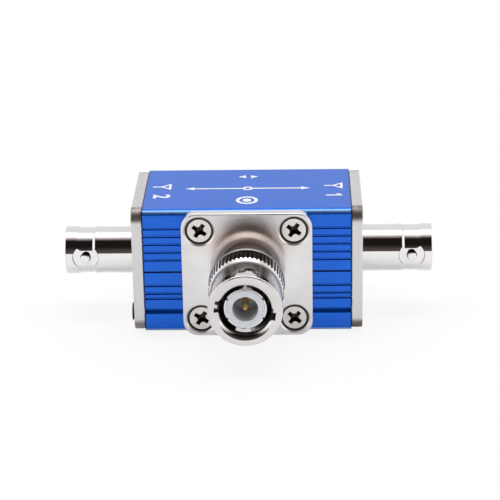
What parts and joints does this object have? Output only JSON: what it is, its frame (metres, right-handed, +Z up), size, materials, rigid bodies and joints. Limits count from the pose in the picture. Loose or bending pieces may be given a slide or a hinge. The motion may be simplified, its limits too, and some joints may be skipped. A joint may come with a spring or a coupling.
{
  "type": "coaxial antenna switch",
  "caption": "Small square metal case with a bayonet plug for a radio on the front, a bayonet antenna jack on each end and a toggle on the back that picks the antenna.",
  "frame": {"origin": "centre of the case's bottom face", "axes": "+Z up, +X towards antenna jack 1, +Y towards the toggle switch, so the radio plug faces -Y"},
  "size_m": [0.0732, 0.0628, 0.0254],
  "materials": {
    "blue_anodised": "blue anodised, satin",
    "plain_aluminium": "milled, satin",
    "nickel": "bright nickel plate",
    "satin_nickel": "satin nickel plate",
    "black_screw": "black oxide",
    "gold": "gold plate",
    "insulator": "white fluoropolymer",
    "gasket": "soft, pale",
    "spring_steel": "bright spring steel",
    "phenolic": "black thermoset",
    "nylon": "natural nylon",
    "silver_contact": "silver plate",
    "tinned_wire": "tinned copper"
  },
  "bodies": {
    "housing": {"end_plate_left": "plain_aluminium", "end_plate_right": "plain_aluminium", "end_plate_screws_left": "black_screw", "end_plate_screws_right": "black_screw", "flange_screws": "nickel", "ground_lead_left": "tinned_wire", "ground_lead_right": "tinned_wire", "jack_body_left": "nickel", "jack_body_right": "nickel", "jack_contact_left": "gold", "jack_contact_right": "gold", "jack_ground_tag_left": "tinned_wire", "jack_ground_tag_right": "tinned_wire", "jack_insulator_left": "insulator", "jack_insulator_right": "insulator", "jack_lock_washer_left": "spring_steel", "jack_lock_washer_right": "spring_steel", "jack_nut_left": "nickel", "jack_nut_right": "nickel", "lower_shell": "blue_anodised", "plug_body": "satin_nickel", "plug_gasket": "gasket", "plug_insulator": "insulator", "plug_pin": "gold", "plug_sleeve": "nickel", "ring_spring_washer": "spring_steel", "signal_lead_left": "tinned_wire", "signal_lead_plug": "tinned_wire", "signal_lead_right": "tinned_wire", "toggle_case": "phenolic", "toggle_frame": "nickel", "toggle_nut": "nickel", "toggle_terminals": "silver_contact", "toggle_washer": "spring_steel", "upper_shell": "blue_anodised"},
    "ring_carrier": {"ring_slip_washer": "spring_steel"},
    "coupling_ring": {"coupling_ring": "nickel"},
    "toggle_lever": {"toggle_lever": "nickel", "toggle_plunger": "nylon", "toggle_spring": "spring_steel"},
    "toggle_rocker": {"toggle_rocker": "silver_contact"}
  },
  "joints": [
    {"name": "ring_pull", "type": "slide", "parent": "housing", "child": "ring_carrier", "axis": [0, -1, 0], "range_m": [0, 0.0008], "stiffness_N_per_m": 20000, "springref_m": -0.0002, "deforming": ["ring_spring_washer"]},
    {"name": "ring_turn", "type": "hinge", "parent": "ring_carrier", "child": "coupling_ring", "pos_m": [0, -0.0262, 0.0127], "axis": [0, 1, 0], "continuous": true},
    {"name": "toggle_throw", "type": "hinge", "parent": "housing", "child": "toggle_lever", "pos_m": [0, 0.0134, 0.0127], "axis": [0, 0, 1], "range_deg": [0, 25]},
    {"name": "rocker_tilt", "type": "hinge", "parent": "housing", "child": "toggle_rocker", "pos_m": [0, 0.00615, 0.0127], "axis": [0, 0, 1], "range_deg": [-16, 0]}
  ],
  "couplings": [
    {"joint": "rocker_tilt", "follows": "toggle_throw", "ratio": -0.64}
  ]
}
